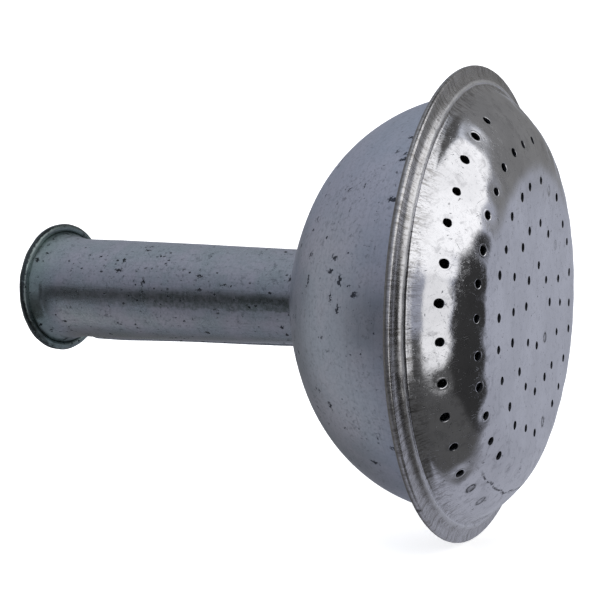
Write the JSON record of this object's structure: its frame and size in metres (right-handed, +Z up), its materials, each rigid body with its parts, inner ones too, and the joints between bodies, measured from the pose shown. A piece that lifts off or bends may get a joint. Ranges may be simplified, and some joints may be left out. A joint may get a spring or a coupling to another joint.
{
  "type": "watering can rose",
  "caption": "Galvanised sheet-steel sprinkler head: a tapered neck with a rolled lip, a round bowl and a dished, perforated face folded over its rim.",
  "frame": {"origin": "on the neck's axis at the outer end of the straight spout socket, where the trumpet flare begins", "axes": "+X along the axis from the neck to the perforated face, +Z up"},
  "size_m": [0.152, 0.12, 0.12],
  "materials": {
    "zinc_matte": "weathered hot-dip zinc, matte and stained",
    "zinc_bowl": "hot-dip zinc, satin, with small dark scratches",
    "zinc_bright": "bright zinc, mirror-like on the shoulder and satin on the flat",
    "steel_wire": "plain drawn wire",
    "solder": "soft solder under zinc, smooth and dull"
  },
  "bodies": {
    "root": {"neck_tube": "zinc_matte", "lip_wire": "steel_wire", "seam_solder": "solder", "neck_solder": "solder", "bowl": "zinc_bowl", "face_plate": "zinc_bright"}
  },
  "joints": []
}
